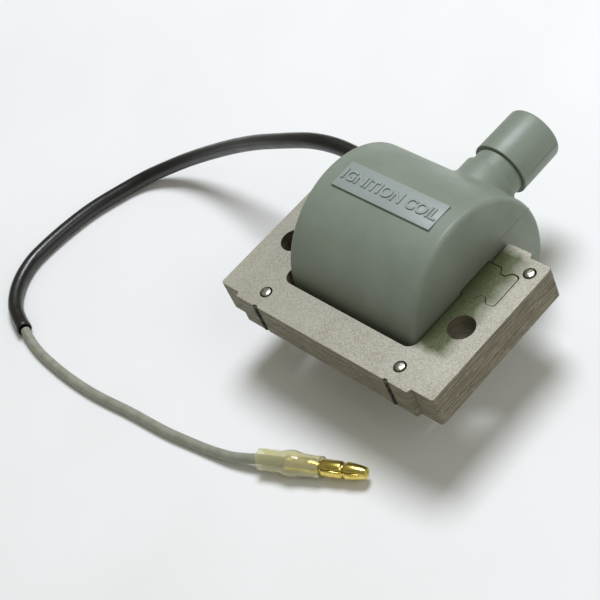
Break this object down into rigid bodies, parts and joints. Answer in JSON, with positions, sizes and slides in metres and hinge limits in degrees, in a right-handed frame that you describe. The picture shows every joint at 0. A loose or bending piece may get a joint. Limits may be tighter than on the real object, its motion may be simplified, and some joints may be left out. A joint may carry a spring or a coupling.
{
  "type": "ignition coil",
  "caption": "Small-engine ignition coil: riveted laminated core, round moulded drum, high-tension tower with a screw gland, and a sleeved low-tension lead with a bullet terminal.",
  "frame": {"origin": "underside of the laminated core, at the middle of its front bar, on the core's plane of symmetry", "axes": "+Z square to the laminations, out of the face with the bolt heads; +X along the drum towards its closed end; +Y towards the high-tension tower's mouth"},
  "size_m": [0.1449, 0.1018, 0.0422],
  "materials": {
    "core_steel": "rolled electrical steel with a thin brown insulating coat",
    "bright_steel": "bright, lightly plated",
    "grey_plastic": "satin moulded grey-green",
    "potting_resin": "cast, semi-gloss olive",
    "natural_nylon": "moulded natural",
    "copper_winding": "enamelled copper wire",
    "brass": "satin",
    "black_rubber": "matte",
    "black_sleeving": "soft glossy PVC",
    "grey_insulation": "satin PVC",
    "clear_sleeving": "clear yellowish PVC"
  },
  "bodies": {
    "root": {"core_lamination_1": "core_steel", "core_lamination_2": "core_steel", "core_lamination_3": "core_steel", "core_lamination_4": "core_steel", "core_lamination_5": "core_steel", "core_lamination_6": "core_steel", "core_lamination_7": "core_steel", "core_lamination_8": "core_steel", "core_lamination_9": "core_steel", "tongue_lamination_1": "core_steel", "tongue_lamination_2": "core_steel", "tongue_lamination_3": "core_steel", "tongue_lamination_4": "core_steel", "tongue_lamination_5": "core_steel", "tongue_lamination_6": "core_steel", "tongue_lamination_7": "core_steel", "tongue_lamination_8": "core_steel", "tongue_lamination_9": "core_steel", "core_rivet_1": "bright_steel", "core_rivet_2": "bright_steel", "core_rivet_3": "bright_steel", "core_rivet_4": "bright_steel", "case": "grey_plastic", "primary_bobbin": "natural_nylon", "primary_winding": "copper_winding", "insulating_sleeve": "natural_nylon", "secondary_bobbin": "natural_nylon", "secondary_winding_1": "copper_winding", "secondary_winding_2": "copper_winding", "secondary_winding_3": "copper_winding", "secondary_winding_4": "copper_winding", "secondary_winding_5": "copper_winding", "secondary_winding_6": "copper_winding", "secondary_tail": "copper_winding", "potting": "potting_resin", "earth_strip": "brass", "high_tension_contact": "brass", "lead_sleeve": "black_sleeving", "lead_wire": "grey_insulation", "terminal_sleeve": "clear_sleeving", "bullet_terminal": "brass"},
    "gland": {"cable_seal": "black_rubber", "gland_washer": "bright_steel"},
    "cap": {"gland_cap": "grey_plastic"}
  },
  "joints": [
    {"name": "gland_travel", "type": "slide", "parent": "root", "child": "gland", "axis": [0, 1, 0], "range_m": [0, 0.0045]},
    {"name": "cap_turn", "type": "hinge", "parent": "gland", "child": "cap", "pos_m": [0.0061, 0.06, 0.01099], "axis": [0, 1, 0], "range_deg": [0, 1080]}
  ],
  "couplings": [
    {"joint": "cap_turn", "follows": "gland_travel", "rad_per_m": 4188.7}
  ]
}
